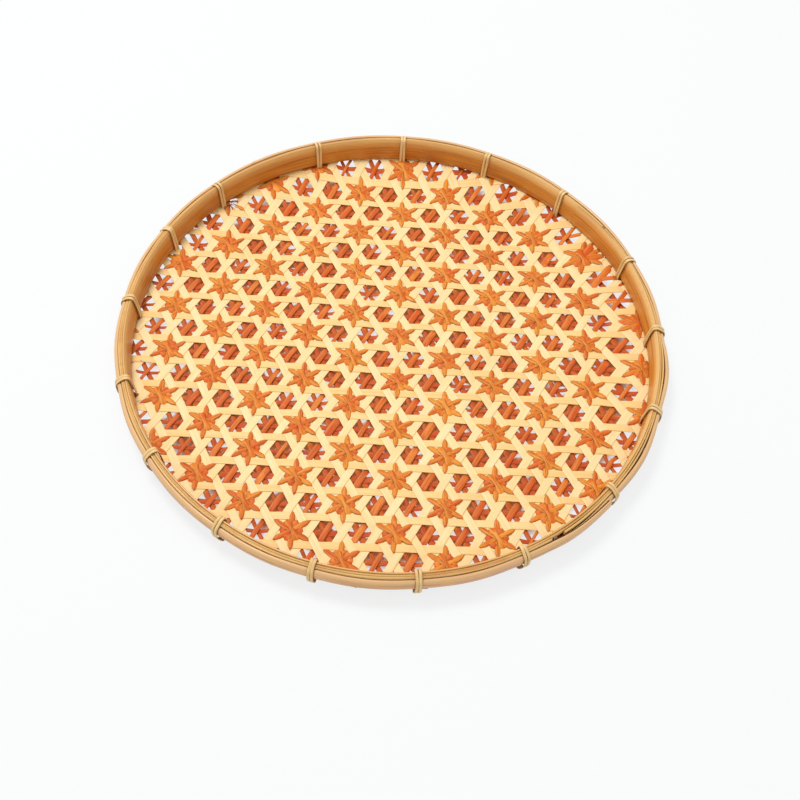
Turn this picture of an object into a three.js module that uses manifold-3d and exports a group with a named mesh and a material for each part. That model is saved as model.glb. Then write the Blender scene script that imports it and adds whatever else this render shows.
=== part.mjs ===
// Hanging wall basket: a shallow round tray of open three-way weave, threaded with
// dyed splints that make six-petal flowers, and bound between two hoops with cane.
// Millimetres, +Z up. The origin is at the middle of the rim, at the height of the
// surface that the tray rests on. The strips across the tray run along X.
import * as THREE from "three";
import { mergeVertices } from "three/addons/utils/BufferGeometryUtils.js";
import Module from "manifold-3d";

const wasm = await Module();
wasm.setup();

// Hoops
const rimInnerRadius = 167.8;
const innerHoopThickness = 2.0;
const innerHoopHeight = 17;
const outerHoopThickness = 3.0;
const outerHoopHeight = 9.5;
const outerHoopLift = 5.5; // from the top of the mat to the foot of the outer hoop
const slotWidth = 2.2; // between the hoops, for the strip ends and the fillers
const lapTipThickness = 0.5; // thickness of a hoop's shaved end
const innerLapAngle = 30; // where the inner hoop's strip begins
const outerLapAngle = 306; // its other end stops just short of a lashing
const lapSteps = 2; // facets of the rim that the two shaved ends share
const rimFacets = 60;

// Fillers, the two splints that close the slot from above
const fillerHeight = 3.2;
const fillerDrop = 0.6; // below the inner hoop's top edge
const fillerEndGap = 1.5;

// Weave
const holePitch = 20; // from hole to hole along a row
const rowPitch = 18.05;
const creamWidth = 5;
const creamThickness = 0.5;
const splintWidth = 3;
const splintThickness = 0.4;
const neckWidth = 0.5; // the dyed splint where it dives between three strips
const flowerX = 4.8; // the flower nearest to the middle of the tray
const flowerY = 7.1;
const middleRow = 11; // number of the first row above that flower
const middleColumn = 6; // number of that flower's column
const columnPitch = 1.5 * holePitch; // from one column of flowers to the next
const flowerPitch = 2 * rowPitch; // from flower to flower of one column

// Cane lashings, two strands side by side
const strandWidth = 2.1;
const strandThickness = 1.2;
const strandShoulder = 0.35; // how far each strand's edges are rounded in
const furrowHeight = 0.5; // above the strand's back, between the two strands
const lashingAngles = [3, 23, 47, 68, 89, 110, 137, 154, 175, 196, 215, 236, 256, 276, 297, 320, 342];

// Clearances
const clearance = 0.3;
const layGap = 0.1; // between splints that lie on each other

// Levels, from the surface that the tray rests on
const underLevel120 = strandThickness + clearance;
const underLevel0 = underLevel120 + splintThickness + layGap;
const underLevel60 = underLevel0 + splintThickness + layGap;
const threadLevel = underLevel60 + splintThickness + layGap;
const creamLevel120 = threadLevel + splintThickness + layGap;
const creamLevel60 = creamLevel120 + creamThickness;
const creamLevel0 = creamLevel60 + creamThickness + layGap;
const matTop = creamLevel0 + creamThickness;
const petalLevel = matTop + layGap;
const innerHoopFoot = matTop + layGap;
const innerHoopTop = innerHoopFoot + innerHoopHeight;
const outerHoopFoot = matTop + outerHoopLift;
const outerHoopTop = outerHoopFoot + outerHoopHeight;
const fillerTop = innerHoopTop - fillerDrop;
const fillerFoot = fillerTop - fillerHeight;
const bandTop = fillerFoot - clearance;

// Radii
const facetAngle = 360 / rimFacets;
const facetShare = Math.cos(THREE.MathUtils.degToRad(facetAngle / 2));
const slotInnerRadius = rimInnerRadius + innerHoopThickness;
const slotOuterRadius = slotInnerRadius + slotWidth;
const rimOuterRadius = slotOuterRadius + outerHoopThickness;
const bandInnerRadius = slotInnerRadius + clearance;
const bandOuterRadius = slotOuterRadius - clearance;
const legOuterFace = rimInnerRadius * facetShare - clearance; // of a lashing, inside the tray
const legInnerFace = legOuterFace - strandThickness;
const creamRadius = slotInnerRadius * facetShare - clearance;
const flowerRadius = legInnerFace - clearance;

// Directions of the weave
const slant = Math.atan2(rowPitch, holePitch / 2);
const slantPitch = holePitch * Math.sin(slant);
const directions = {
  across: { angle: 0, pitch: rowPitch },
  rising: { angle: slant, pitch: slantPitch },
  falling: { angle: Math.PI - slant, pitch: slantPitch },
};
const flowerCentre = new THREE.Vector2(flowerX, flowerY);

// Materials
function finish(color, roughness) {
  return new THREE.MeshStandardMaterial({ color, roughness, metalness: 0 });
}
const creamBamboo = finish(0xf6dfae, 0.6);
const dyedBamboo = finish(0xdd6b2c, 0.6);
const hoopBamboo = finish(0xc9954e, 0.4);
const fillerBamboo = finish(0xe0b878, 0.45);
const cane = finish(0xe8c48c, 0.45);

// Geometry to solid and back
function solidFrom(geometry) {
  geometry.deleteAttribute("normal");
  geometry.deleteAttribute("uv");
  const merged = mergeVertices(geometry);
  const mesh = new wasm.Mesh({
    numProp: 3,
    vertProperties: new Float32Array(merged.attributes.position.array),
    triVerts: new Uint32Array(merged.index.array),
  });
  return new wasm.Manifold(mesh);
}

function geometryFrom(solid) {
  const mesh = solid.getMesh();
  const geometry = new THREE.BufferGeometry();
  geometry.setAttribute("position", new THREE.BufferAttribute(mesh.vertProperties, 3));
  geometry.setIndex(new THREE.BufferAttribute(mesh.triVerts, 1));
  geometry.computeVertexNormals();
  return geometry;
}

function joined(solids) {
  return solids.reduce((whole, next) => whole.add(next));
}

function largestBody(solid) {
  const bodies = solid.decompose();
  return bodies.reduce((best, body) => (body.volume() > best.volume() ? body : best));
}

// A flat piece: an outline in plan, from one level up by a thickness. Both faces are set
// to their levels, so that pieces on the same levels meet without a rounding step.
function slab(outline, level, thickness) {
  const options = { depth: thickness, bevelEnabled: false };
  const geometry = new THREE.ExtrudeGeometry(new THREE.Shape(outline), options);
  const corners = geometry.attributes.position;
  for (let index = 0; index < corners.count; index++) {
    corners.setZ(index, corners.getZ(index) > 0 ? level + thickness : level);
  }
  return geometry;
}

// A skin through a row of sections of equal point count, closed on itself or capped
function loft(sections, closed) {
  const sides = sections[0].length;
  const positions = sections.flat().flatMap((point) => point.toArray());
  const triangles = [];
  const spans = closed ? sections.length : sections.length - 1;
  for (let span = 0; span < spans; span++) {
    const here = span * sides;
    const there = ((span + 1) % sections.length) * sides;
    for (let side = 0; side < sides; side++) {
      const next = (side + 1) % sides;
      triangles.push(here + side, there + side, there + next);
      triangles.push(here + side, there + next, here + next);
    }
  }
  if (!closed) {
    const last = (sections.length - 1) * sides;
    for (let side = 1; side < sides - 1; side++) {
      triangles.push(0, side, side + 1);
      triangles.push(last, last + side + 1, last + side);
    }
  }
  const geometry = new THREE.BufferGeometry();
  geometry.setAttribute("position", new THREE.Float32BufferAttribute(positions, 3));
  geometry.setIndex(triangles);
  return geometry;
}

function onRim(radius, degrees, height) {
  const turn = THREE.MathUtils.degToRad(degrees);
  return new THREE.Vector3(radius * Math.cos(turn), radius * Math.sin(turn), height);
}

// The facet corner nearest to an angle. Every ring of the rim turns at the same corners,
// so that the facets of rings that lie side by side stay apart.
function rimCorner(degrees) {
  return Math.round(degrees / facetAngle) * facetAngle;
}

// A hoop is one split strip, flat against the slot and crowned on its other face. Its two
// ends are shaved and lapped, so it is drawn from one end, once round, to the other end.
// side is 1 where the crown faces out and -1 where it faces in.
const hoopProfile = [
  [0, 0],
  [0, 1],
  [0.55, 1],
  [0.9, 0.86],
  [1, 0.62],
  [1, 0.38],
  [0.9, 0.14],
  [0.55, 0],
];

function hoop(flatRadius, side, thickness, height, foot, lapAngle) {
  const sections = [];
  const lapShift = lapTipThickness + clearance;
  for (let step = 0; step <= rimFacets + lapSteps; step++) {
    const opening = Math.min(step / lapSteps, 1);
    const closing = Math.max((step - rimFacets) / lapSteps, 0);
    const shaved = (thickness - lapTipThickness) * closing;
    const depth = lapTipThickness + (thickness - lapTipThickness) * opening - shaved;
    const shift = step >= rimFacets ? lapShift + shaved : 0;
    const angle = rimCorner(lapAngle) + step * facetAngle;
    const section = hoopProfile.map(([across, up]) =>
      onRim(flatRadius + side * (shift + across * depth), angle, foot + up * height),
    );
    sections.push(side > 0 ? section.reverse() : section);
  }
  return loft(sections, false);
}

// A filler is a thin splint on edge, whose two ends stop short of each other
function filler(innerRadius, thickness, startAngle) {
  const sections = [];
  const gapAngle = THREE.MathUtils.radToDeg(fillerEndGap / innerRadius);
  for (let step = 0; step <= rimFacets; step++) {
    const turned = step === rimFacets ? 360 - gapAngle : step * facetAngle;
    const angle = rimCorner(startAngle) + turned;
    sections.push([
      onRim(innerRadius, angle, fillerFoot),
      onRim(innerRadius + thickness, angle, fillerFoot),
      onRim(innerRadius + thickness, angle, fillerTop),
      onRim(innerRadius, angle, fillerTop),
    ]);
  }
  return loft(sections, false);
}

// The turned-up ends of the strips, pressed together in the slot
function endBand() {
  const sections = [];
  for (let step = 0; step < rimFacets; step++) {
    const angle = step * facetAngle;
    sections.push([
      onRim(bandInnerRadius, angle, underLevel120),
      onRim(bandOuterRadius, angle, underLevel120),
      onRim(bandOuterRadius, angle, bandTop),
      onRim(bandInnerRadius, angle, bandTop),
    ]);
  }
  return loft(sections, true);
}

// A lashing goes up inside the tray, over the hoops, down outside and back under the mat.
// Its path is the line of the strands' backs, as distance from the axis and height.
function lashingPath() {
  const inside = legOuterFace;
  const outside = rimOuterRadius + clearance;
  return [
    [inside, strandThickness],
    [inside, innerHoopTop - innerHoopThickness / 2],
    [rimInnerRadius + innerHoopThickness / 4, innerHoopTop + clearance],
    [slotInnerRadius + clearance, innerHoopTop + clearance],
    [rimOuterRadius - outerHoopThickness / 3, outerHoopTop + clearance],
    [outside, outerHoopTop - outerHoopThickness / 3],
    [outside, outerHoopFoot],
    [bandOuterRadius + clearance, strandThickness],
  ].map(([radius, height]) => new THREE.Vector2(radius, height));
}

function lashing(degrees) {
  const path = lashingPath();
  const top = strandThickness;
  const profile = [
    [-strandWidth, 0],
    [-strandWidth + strandShoulder, top],
    [-strandShoulder, top],
    [0, furrowHeight],
    [strandShoulder, top],
    [strandWidth - strandShoulder, top],
    [strandWidth, 0],
  ];
  const turn = THREE.MathUtils.degToRad(degrees);
  const outward = new THREE.Vector3(Math.cos(turn), Math.sin(turn), 0);
  const sideways = new THREE.Vector3(-Math.sin(turn), Math.cos(turn), 0);
  const sections = path.map((corner, index) => {
    const before = path[(index + path.length - 1) % path.length];
    const after = path[(index + 1) % path.length];
    const arriving = corner.clone().sub(before).normalize();
    const leaving = after.clone().sub(corner).normalize();
    const mitre = new THREE.Vector2(-arriving.y - leaving.y, arriving.x + leaving.x);
    mitre.divideScalar(1 + arriving.dot(leaving));
    return profile.map(([across, away]) =>
      new THREE.Vector3(0, 0, corner.y + mitre.y * away)
        .addScaledVector(outward, corner.x + mitre.x * away)
        .addScaledVector(sideways, across),
    );
  });
  return loft(sections, true);
}

// Room for a lashing's inner leg, to cut from the strips that it passes
function lashingSlot(degrees) {
  const depth = strandThickness + 2 * clearance;
  const width = 2 * (strandWidth + clearance);
  const slot = new THREE.BoxGeometry(depth, width, innerHoopTop);
  slot.translate((legInnerFace + legOuterFace) / 2, 0, innerHoopTop / 2);
  return solidFrom(slot.rotateZ(THREE.MathUtils.degToRad(degrees)));
}
const lashingSlots = joined(lashingAngles.map(lashingSlot));

// Straight strips of one direction, each cut to the circle that it ends on, by the number
// of the line that it lies on, counted from the flower nearest to the middle. shift 0 runs
// through the middles of the holes, and 0.5 along their edges.
function strips(direction, shift, width, radius, level, thickness) {
  const along = new THREE.Vector2(Math.cos(direction.angle), Math.sin(direction.angle));
  const square = new THREE.Vector2(-along.y, along.x);
  const start = flowerCentre.dot(square) + shift * direction.pitch;
  const first = Math.ceil((-rimInnerRadius - start) / direction.pitch);
  const last = Math.floor((rimInnerRadius - start) / direction.pitch);
  const place = (run, offset) => along.clone().multiplyScalar(run).addScaledVector(square, offset);
  const pieces = new Map();
  for (let line = first; line <= last; line++) {
    const near = start + line * direction.pitch - width / 2;
    const far = near + width;
    if (Math.max(Math.abs(near), Math.abs(far)) > rimInnerRadius) continue;
    const nearRun = Math.sqrt(radius ** 2 - near ** 2);
    const farRun = Math.sqrt(radius ** 2 - far ** 2);
    const outline = [place(-nearRun, near), place(nearRun, near), place(farRun, far), place(-farRun, far)];
    pieces.set(line, solidFrom(slab(outline, level, thickness)));
  }
  return pieces;
}

function creamStrips(direction, level) {
  return strips(direction, 0.5, creamWidth, creamRadius, level, creamThickness);
}

function underSplints(direction, level) {
  const radius = (bandInnerRadius + bandOuterRadius) / 2;
  return strips(direction, 0, splintWidth, radius, level, splintThickness);
}

// Middle of the small triangle that three strips leave between three holes, from the
// middle of a hole: straight up the tray, and to the side
const triangleSide = holePitch / 2;
const triangleEdge = Math.hypot(holePitch / 4, rowPitch / 2);
const triangleMiddle = (rowPitch / 2) * (triangleSide / (triangleSide + 2 * triangleEdge));
const diveAt = rowPitch / 2 + triangleMiddle;
const diveNear = diveAt - splintThickness / 2;
const diveFar = diveAt + splintThickness / 2;
const sidePetalX = holePitch / 2;
const sidePetalY = rowPitch / 2 - triangleMiddle;

// Six petals round a hole, anticlockwise. Three splints cross to make them, so each is as
// wide as a splint at the middle. The two that dive end as wide as the splint's neck.
const petals = [
  { tip: new THREE.Vector2(sidePetalX, sidePetalY), end: 0 },
  { tip: new THREE.Vector2(0, diveNear), end: neckWidth / 2 },
  { tip: new THREE.Vector2(-sidePetalX, sidePetalY), end: 0 },
  { tip: new THREE.Vector2(-sidePetalX, -sidePetalY), end: 0 },
  { tip: new THREE.Vector2(0, -diveNear), end: neckWidth / 2 },
  { tip: new THREE.Vector2(sidePetalX, -sidePetalY), end: 0 },
];

// One long edge of a petal, from the flower's middle out: side 1 is its left, -1 its right
function petalEdge({ tip, end }, side) {
  const square = new THREE.Vector2(-tip.y, tip.x).normalize();
  const inner = square.clone().multiplyScalar((side * splintWidth) / 2);
  const outer = tip.clone().addScaledVector(square, side * end);
  return { inner, outer };
}

function meeting(first, second) {
  const run = first.outer.clone().sub(first.inner);
  const other = second.outer.clone().sub(second.inner);
  const share = second.inner.clone().sub(first.inner).cross(other) / run.cross(other);
  return first.inner.clone().addScaledVector(run, share);
}

const flowerOutline = petals.flatMap((petal, index) => {
  const next = petals[(index + 1) % petals.length];
  const valley = meeting(petalEdge(petal, 1), petalEdge(next, -1));
  const point = petal.end > 0 ? [petalEdge(petal, -1).outer, petalEdge(petal, 1).outer] : [petal.tip];
  return [...point, valley];
});

// A flower column is one splint that lies over a flower, dives between three strips, runs
// under the crossing beyond them and rises to the next flower of its column. Each flower
// is one flat star with the petals that its two side splints show.
function flowerColumn(column) {
  const columnX = flowerX + column * columnPitch;
  const halfRun = Math.sqrt(flowerRadius ** 2 - columnX ** 2);
  const startY = flowerY + column * rowPitch;
  const first = Math.ceil((-halfRun - startY) / flowerPitch);
  const last = Math.floor((halfRun - startY) / flowerPitch);
  const runTop = threadLevel + splintThickness;
  const petalTop = petalLevel + splintThickness;
  const section = (innerY, innerZ, outerY, outerZ) => [
    new THREE.Vector3(columnX - neckWidth / 2, innerY, innerZ),
    new THREE.Vector3(columnX - neckWidth / 2, outerY, outerZ),
    new THREE.Vector3(columnX + neckWidth / 2, outerY, outerZ),
    new THREE.Vector3(columnX + neckWidth / 2, innerY, innerZ),
  ];
  const pieces = [];
  for (let row = first; row <= last + 1; row++) {
    const above = startY + row * flowerPitch;
    const below = above - flowerPitch;
    const run = [];
    if (row > first) {
      run.push(section(below + diveFar, petalTop, below + diveNear, petalTop));
      run.push(section(below + diveFar, runTop, below + diveNear, threadLevel));
    } else {
      run.push(section(-rimOuterRadius, runTop, -rimOuterRadius, threadLevel));
    }
    if (row <= last) {
      run.push(section(above - diveFar, runTop, above - diveNear, threadLevel));
      run.push(section(above - diveFar, petalTop, above - diveNear, petalTop));
      const centre = new THREE.Vector2(columnX, above);
      const star = flowerOutline.map((point) => point.clone().add(centre));
      pieces.push(solidFrom(slab(star, petalLevel, splintThickness)));
    } else {
      run.push(section(rimOuterRadius, runTop, rimOuterRadius, threadLevel));
    }
    pieces.push(solidFrom(loft(run, false)));
  }
  return largestBody(joined(pieces).intersect(trayDisc));
}
const trayDisc = solidFrom(
  new THREE.CylinderGeometry(flowerRadius, flowerRadius, innerHoopTop, 2 * rimFacets)
    .rotateX(Math.PI / 2)
    .translate(0, 0, innerHoopTop / 2),
);

// Assembly
const basket = new THREE.Group();

function addPiece(name, geometry, material) {
  const mesh = new THREE.Mesh(geometry, material);
  mesh.name = name;
  basket.add(mesh);
}

function numbered(name, number) {
  return name + "_" + String(number).padStart(2, "0");
}

const fillerThickness = (slotWidth - 3 * layGap) / 2;
const secondFillerRadius = slotInnerRadius + 2 * layGap + fillerThickness;
addPiece(
  "hoop_inner",
  hoop(slotInnerRadius, -1, innerHoopThickness, innerHoopHeight, innerHoopFoot, innerLapAngle),
  hoopBamboo,
);
addPiece(
  "hoop_outer",
  hoop(slotOuterRadius, 1, outerHoopThickness, outerHoopHeight, outerHoopFoot, outerLapAngle),
  hoopBamboo,
);
addPiece("filler_inner", filler(slotInnerRadius + layGap, fillerThickness, innerLapAngle), fillerBamboo);
addPiece("filler_outer", filler(secondFillerRadius, fillerThickness, outerLapAngle), fillerBamboo);

lashingAngles.forEach((angle, index) => {
  addPiece(numbered("lashing", index + 1), lashing(angle), cane);
});

creamStrips(directions.across, creamLevel0).forEach((strip, line) => {
  const row = largestBody(strip.subtract(lashingSlots));
  addPiece(numbered("cream_row", middleRow + line), geometryFrom(row), creamBamboo);
});

const creamDiagonals = joined([
  ...creamStrips(directions.rising, creamLevel60).values(),
  ...creamStrips(directions.falling, creamLevel120).values(),
]);
addPiece(
  "cream_diagonals",
  geometryFrom(largestBody(creamDiagonals.subtract(lashingSlots))),
  creamBamboo,
);

const underNet = joined([
  solidFrom(endBand()),
  ...underSplints(directions.rising, underLevel60).values(),
  ...underSplints(directions.across, underLevel0).values(),
  ...underSplints(directions.falling, underLevel120).values(),
]);
addPiece(
  "under_splints",
  geometryFrom(largestBody(underNet.subtract(lashingSlots))),
  dyedBamboo,
);

const outerColumn = Math.floor((flowerRadius - Math.abs(flowerX)) / columnPitch);
for (let column = -outerColumn; column <= outerColumn; column++) {
  const name = numbered("flower_column", middleColumn + column);
  addPiece(name, geometryFrom(flowerColumn(column)), dyedBamboo);
}

export default basket;
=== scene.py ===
import math
import random
import bmesh
import bpy
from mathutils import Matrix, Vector, noise


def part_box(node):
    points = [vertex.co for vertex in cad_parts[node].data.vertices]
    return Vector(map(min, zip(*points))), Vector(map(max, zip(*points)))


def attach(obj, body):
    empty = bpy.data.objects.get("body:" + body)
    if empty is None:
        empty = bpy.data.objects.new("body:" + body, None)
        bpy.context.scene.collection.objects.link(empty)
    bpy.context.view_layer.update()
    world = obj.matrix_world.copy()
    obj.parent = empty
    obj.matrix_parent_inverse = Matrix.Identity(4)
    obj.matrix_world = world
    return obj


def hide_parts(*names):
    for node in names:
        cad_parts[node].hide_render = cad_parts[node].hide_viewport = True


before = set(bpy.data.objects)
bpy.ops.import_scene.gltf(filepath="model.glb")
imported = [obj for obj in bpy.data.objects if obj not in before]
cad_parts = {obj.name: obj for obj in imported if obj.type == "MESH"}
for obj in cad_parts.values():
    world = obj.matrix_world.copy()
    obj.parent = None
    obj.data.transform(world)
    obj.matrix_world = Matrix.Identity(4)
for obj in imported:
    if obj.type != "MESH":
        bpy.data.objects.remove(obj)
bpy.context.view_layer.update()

mm = 0.001  # shapes are worked out in millimetres and scaled once, at the end
print("frame loaded,", len(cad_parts), "nodes")


def top(node):
    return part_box(node)[1].z / mm


def foot(node):
    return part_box(node)[0].z / mm


def addObject(name, data):
    made = bpy.data.objects.new(name, data)
    bpy.context.collection.objects.link(made)
    return made


# Camera at the photograph's angle

view = {
    "place": (-0.01296, -0.42888, 0.5926),
    "turn": (33.2119, -2.5902, 1.1733),
    "lens": 50.38,
    "sensor": 36,
}


def makeCamera():
    data = bpy.data.cameras.new("camera")
    data.lens = view["lens"]
    data.sensor_width = view["sensor"]
    camera = addObject("camera", data)
    camera.location = view["place"]
    camera.rotation_euler = [math.radians(angle) for angle in view["turn"]]
    bpy.context.scene.camera = camera


makeCamera()
print("camera placed")


# Colours and nodes

def paint(red, green, blue):
    def linear(level):
        share = level / 255
        return share / 12.92 if share <= 0.04045 else ((share + 0.055) / 1.055) ** 2.4
    return (linear(red), linear(green), linear(blue), 1)


def feed(tree, node, values):
    for socket, value in values.items():
        if isinstance(value, bpy.types.NodeSocket):
            tree.links.new(value, node.inputs[socket])
        else:
            node.inputs[socket].default_value = value


def addNode(tree, kind, settings=None, values=None):
    node = tree.nodes.new(kind)
    for name, value in (settings or {}).items():
        setattr(node, name, value)
    feed(tree, node, values or {})
    return node


def calculate(tree, operation, first, second=0.0):
    return addNode(tree, "ShaderNodeMath", {"operation": operation}, {0: first, 1: second}).outputs[0]


def spread(tree, value, low, high, outLow=0.0, outHigh=1.0):
    settings = {"interpolation_type": "SMOOTHSTEP"}
    values = {"Value": value, "From Min": low, "From Max": high, "To Min": outLow, "To Max": outHigh}
    return addNode(tree, "ShaderNodeMapRange", settings, values).outputs["Result"]


def blend(tree, share, first, second, kind="MIX"):
    settings = {"data_type": "RGBA", "blend_type": kind}
    return addNode(tree, "ShaderNodeMix", settings, {0: share, 6: first, 7: second}).outputs[2]


def mottle(tree, place, scale, detail):
    values = {"Vector": place, "Scale": scale, "Detail": detail}
    return addNode(tree, "ShaderNodeTexNoise", values=values).outputs[0]


def newGroup(name, inputs, outputs):
    tree = bpy.data.node_groups.new(name, "ShaderNodeTree")
    for socket, value in inputs.items():
        made = tree.interface.new_socket(socket, in_out="INPUT", socket_type="NodeSocketFloat")
        made.default_value = value
    for socket in outputs:
        tree.interface.new_socket(socket, in_out="OUTPUT", socket_type="NodeSocketFloat")
    return tree, tree.nodes.new("NodeGroupInput"), tree.nodes.new("NodeGroupOutput")


grain = {
    "seedStep": 97.0,
    "streakDetail": 3.0,
    "fineAlong": 2.5,  # how much finer the fine streaks are, along the strip and across it
    "fineAcross": 4.5,
    "fineDetail": 2.0,
    "crestHighlightFrom": 0.1,
    "stainDetail": 4.0,
    "fleckDetail": 2.0,
    "fleckRange": (0.6, 0.75),
}
fibreInputs = {"streaksAcross": 5.0, "streakLength": 60.0, "edgeAndShadeFrom": 0.8}
stainInputs = {"stainSize": 0.05, "fleckSize": 0.004}


# Bamboo fibres run along a strip. The strip attribute holds the run in millimetres, the
# place across from -1 to 1, and a seed for each strip. The lift attribute holds the height
# over the mat's middle.
def makeFibreGroup():
    outputs = ["Streak", "Fine", "EdgeAndShade", "CrestHighlight", "Tone", "Lift"]
    tree, given, result = newGroup("bambooFibre", fibreInputs, outputs)
    strip = addNode(tree, "ShaderNodeAttribute", {"attribute_name": "strip"}).outputs["Vector"]
    parts = addNode(tree, "ShaderNodeSeparateXYZ", values={0: strip})
    run, across, seed = parts.outputs
    slide = calculate(tree, "MULTIPLY", seed, grain["seedStep"])
    long = calculate(tree, "DIVIDE", run, given.outputs["streakLength"])
    wide = calculate(tree, "MULTIPLY", across, given.outputs["streaksAcross"])
    spot = addNode(tree, "ShaderNodeCombineXYZ", values={0: long, 1: wide, 2: slide}).outputs[0]
    streak = mottle(tree, spot, 1.0, grain["streakDetail"])
    quick = calculate(tree, "MULTIPLY", long, grain["fineAlong"])
    thin = calculate(tree, "MULTIPLY", wide, grain["fineAcross"])
    spot = addNode(tree, "ShaderNodeCombineXYZ", values={0: quick, 1: thin, 2: slide}).outputs[0]
    fine = mottle(tree, spot, 1.0, grain["fineDetail"])
    tone = addNode(tree, "ShaderNodeTexWhiteNoise", {"noise_dimensions": "1D"}, {"W": slide})
    # the edge mask places dark strip edges, partly their own colour and partly painted shade
    edge = spread(tree, calculate(tree, "ABSOLUTE", across), given.outputs["edgeAndShadeFrom"], 1.0)
    # the crest mask places a painted highlight towards one side of the strip
    crestHighlight = spread(tree, across, grain["crestHighlightFrom"], 1.0)
    lift = addNode(tree, "ShaderNodeAttribute", {"attribute_name": "lift"}).outputs["Fac"]
    feed(tree, result, {"Streak": streak, "Fine": fine, "EdgeAndShade": edge, "CrestHighlight": crestHighlight})
    feed(tree, result, {"Tone": tone.outputs["Value"], "Lift": lift})
    return tree


# Broad stains and small flecks, in the piece's own space
def makeStainGroup():
    tree, given, result = newGroup("bambooStain", stainInputs, ["Stain", "Fleck"])
    place = addNode(tree, "ShaderNodeTexCoord").outputs["Object"]
    wide = calculate(tree, "DIVIDE", 1.0, given.outputs["stainSize"])
    small = calculate(tree, "DIVIDE", 1.0, given.outputs["fleckSize"])
    stain = mottle(tree, place, wide, grain["stainDetail"])
    fleck = spread(tree, mottle(tree, place, small, grain["fleckDetail"]), *grain["fleckRange"])
    feed(tree, result, {"Stain": stain, "Fleck": fleck})
    return tree


fibreGroup = makeFibreGroup()
stainGroup = makeStainGroup()


finish = {
    "streakRange": (0.42, 0.72),  # levels of the noise between which a mark comes in
    "fineRange": (0.4, 0.8),
    "stainRange": (0.5, 0.72),
    "creaseShadeRange": (0.25, 0.85),
    "creaseShadeSamples": 6,
    "roughRange": (0.3, 0.7),
    "smoother": 0.06,
    "rougher": 0.1,
    "reliefDepth": 0.0002,
}


# One bamboo finish: two tones that change from strip to strip, streaks, stains, a painted highlight along
# one side, edges darkened partly as painted shade, and painted shade in creases.
# Some are paler towards one side of the tray as painted light, or darker where they lie low as painted
# shade.
def makeBamboo(name, look):
    material = bpy.data.materials.new(name)
    material.use_nodes = True
    tree = material.node_tree
    shader = tree.nodes["Principled BSDF"]
    values = {name: look[name] for name in fibreInputs}
    fibre = addNode(tree, "ShaderNodeGroup", {"node_tree": fibreGroup}, values).outputs
    values = {name: look[name] for name in stainInputs}
    stain = addNode(tree, "ShaderNodeGroup", {"node_tree": stainGroup}, values).outputs
    colour = blend(tree, fibre["Tone"], paint(*look["light"]), paint(*look["deep"]))
    coats = (
        ("streak", spread(tree, fibre["Streak"], *finish["streakRange"], 0.0, look["streakShare"])),
        ("streak", spread(tree, fibre["Fine"], *finish["fineRange"], 0.0, look["fineShare"])),
        ("stain", spread(tree, stain["Stain"], *finish["stainRange"], 0.0, look["stainShare"])),
        ("stain", calculate(tree, "MULTIPLY", stain["Fleck"], look["fleckShare"])),
        # a painted highlight along one side of each strip, or along a hoop's top
        ("crestHighlight", calculate(tree, "MULTIPLY", fibre["CrestHighlight"], look["crestHighlightShare"])),
        # the edge coat darkens strip edges: partly the cut edges' own colour, partly painted shade
        ("edge", calculate(tree, "MULTIPLY", fibre["EdgeAndShade"], look["edgeAndShadeShare"])),
    )
    for tint, share in coats:
        colour = blend(tree, share, colour, paint(*look[tint]))
    # painted shade from ambient occlusion: darker in creases, under strips and between parts
    if "creaseShade" in look:
        settings = {"samples": finish["creaseShadeSamples"]}
        occlusion = addNode(tree, "ShaderNodeAmbientOcclusion", settings, {"Distance": look["creaseShadeReach"]})
        share = spread(tree, occlusion.outputs["AO"], *finish["creaseShadeRange"], look["creaseShadeShare"], 0.0)
        colour = blend(tree, share, colour, paint(*look["creaseShade"]))
    if "sunny" in look:
        place = addNode(tree, "ShaderNodeTexCoord").outputs["Object"]
        values = {0: place, 1: look["sunnySide"]}
        side = addNode(tree, "ShaderNodeVectorMath", {"operation": "DOT_PRODUCT"}, values).outputs["Value"]
        share = spread(tree, side, *look["sunnyRange"], 0.0, look["sunnyShare"])
        colour = blend(tree, share, colour, look["sunny"], "MULTIPLY")
    # painted shade: splints and hidden petal runs darken where they lie low under the mat
    if "low" in look:
        share = spread(tree, fibre["Lift"], *look["lowShadeRange"], look["lowShadeShare"], 0.0)
        colour = blend(tree, share, colour, paint(*look["low"]))
    smoothest = look["roughness"] - finish["smoother"]
    roughest = look["roughness"] + finish["rougher"]
    rough = spread(tree, fibre["Streak"], *finish["roughRange"], smoothest, roughest)
    relief = calculate(tree, "ADD", fibre["Streak"], fibre["Fine"])
    values = {"Strength": look["relief"], "Distance": finish["reliefDepth"], "Height": relief}
    bump = addNode(tree, "ShaderNodeBump", values=values).outputs["Normal"]
    feed(tree, shader, {"Base Color": colour, "Roughness": rough, "Normal": bump})
    feed(tree, shader, {"Specular IOR Level": look["gloss"]})
    return material


creamLook = {
    "light": (249, 222, 166),
    "deep": (247, 213, 150),
    "streak": (234, 192, 122),
    "stain": (228, 196, 124),
    "crestHighlight": (251, 231, 184),
    "edge": (214, 170, 104),
    "edgeAndShadeFrom": 0.8,
    "streaksAcross": 3.0,
    "streakLength": 70.0,
    "stainSize": 0.04,
    "fleckSize": 0.003,
    "streakShare": 0.4,
    "fineShare": 0.25,
    "stainShare": 0.4,
    "fleckShare": 0.15,
    "crestHighlightShare": 0.1,
    "edgeAndShadeShare": 0.3,
    "gloss": 0.35,
    "roughness": 0.5,
    "relief": 0.35,
}
creamSlanting = makeBamboo("creamSlanting", creamLook)
# The across strips are written yellower than the slanting ones, a painted difference in sheen for how the
# grain meets the light
creamAcross = makeBamboo("creamAcross", {
    **creamLook,
    "light": (248, 212, 146),
    "deep": (245, 203, 132),
    "streak": (228, 178, 98),
    "crestHighlight": (253, 224, 160),
})

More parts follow.
